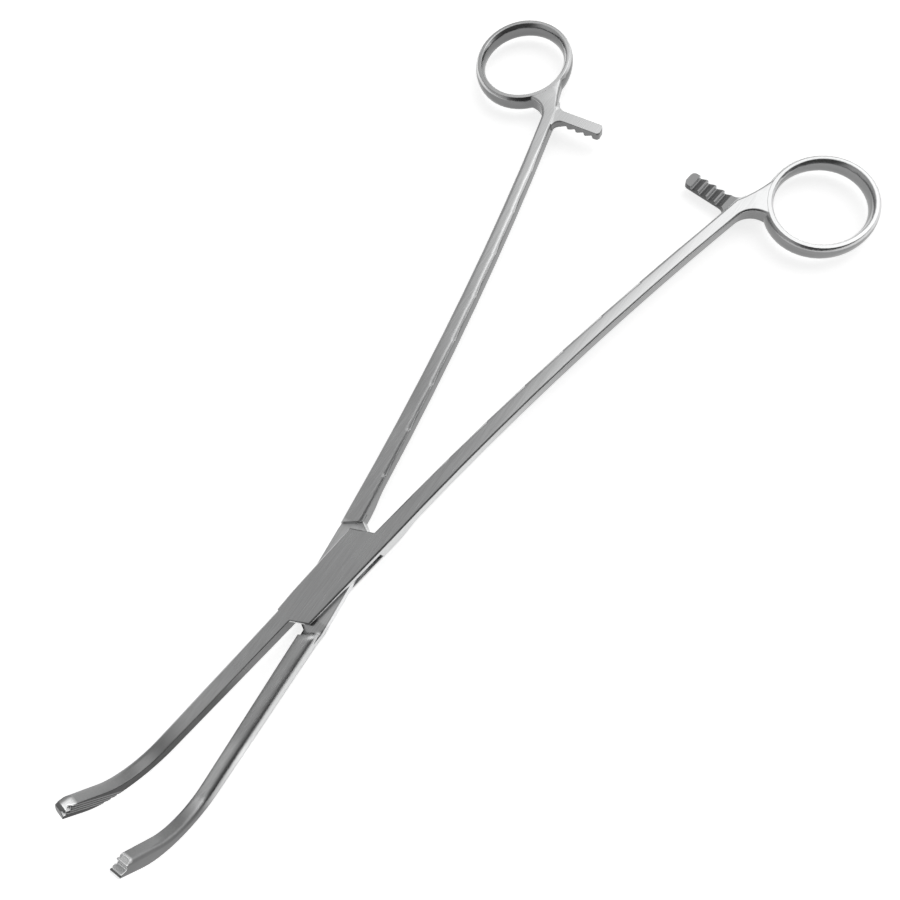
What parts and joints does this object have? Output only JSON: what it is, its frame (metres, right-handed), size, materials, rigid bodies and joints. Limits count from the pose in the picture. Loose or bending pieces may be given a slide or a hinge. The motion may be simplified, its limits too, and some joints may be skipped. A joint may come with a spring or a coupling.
{
  "type": "right angle forceps",
  "caption": "Ring-handled clamping forceps with a box lock, a ratchet and jaw ends bent at a right angle, for passing and holding behind vessels.",
  "frame": {"origin": "on the lock's pivot axis, at the flat underside of the box", "axes": "+Z along the pivot axis, the way the jaw ends point; +Y along the middle line between the two arms, from the jaws to the finger rings; +X towards the ring of the arm that carries the box"},
  "size_m": [0.125, 0.2424, 0.0333],
  "materials": {
    "box_arm_steel": "satin ground stainless steel",
    "tongue_arm_steel": "satin ground stainless steel",
    "lock_pin_steel": "ground flush with the box"
  },
  "bodies": {
    "box_half": {"box_arm": "box_arm_steel", "lock_pin": "lock_pin_steel"},
    "tongue_half": {"tongue_arm": "tongue_arm_steel"}
  },
  "joints": [
    {"name": "box_lock_hinge", "type": "hinge", "parent": "box_half", "child": "tongue_half", "pos_m": [0, 0, 0], "axis": [0, 0, 1], "range_deg": [-12.3, 40]}
  ]
}
